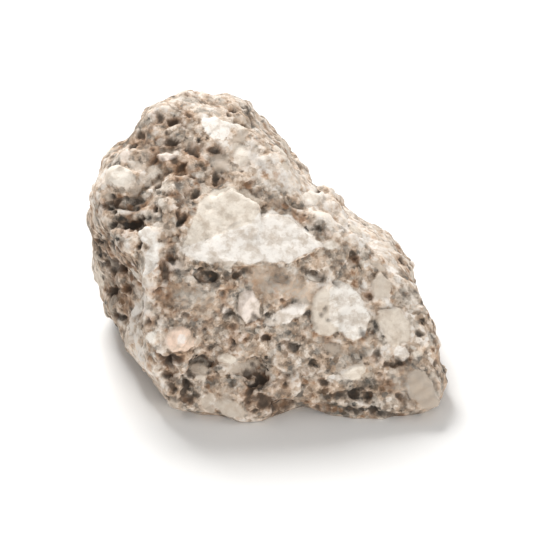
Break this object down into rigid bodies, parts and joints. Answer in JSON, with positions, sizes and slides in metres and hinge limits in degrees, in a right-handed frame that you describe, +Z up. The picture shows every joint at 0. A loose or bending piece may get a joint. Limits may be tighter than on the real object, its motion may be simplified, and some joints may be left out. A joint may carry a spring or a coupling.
{
  "type": "pumice stone",
  "caption": "Rough grey volcanic stone with pale embedded crystals, dark pits, a white crystal ledge on its front and a flat base to lie on.",
  "frame": {"origin": "on the flat base, under the middle of the stone's bounding box", "axes": "+Z up, +X to the right along the stone's greatest width, -Y towards someone looking at the front with the white ledge"},
  "size_m": [0.0356, 0.028, 0.0245],
  "materials": {
    "volcanic_rock": "matte"
  },
  "bodies": {
    "root": {"pumice_stone": "volcanic_rock"}
  },
  "joints": []
}
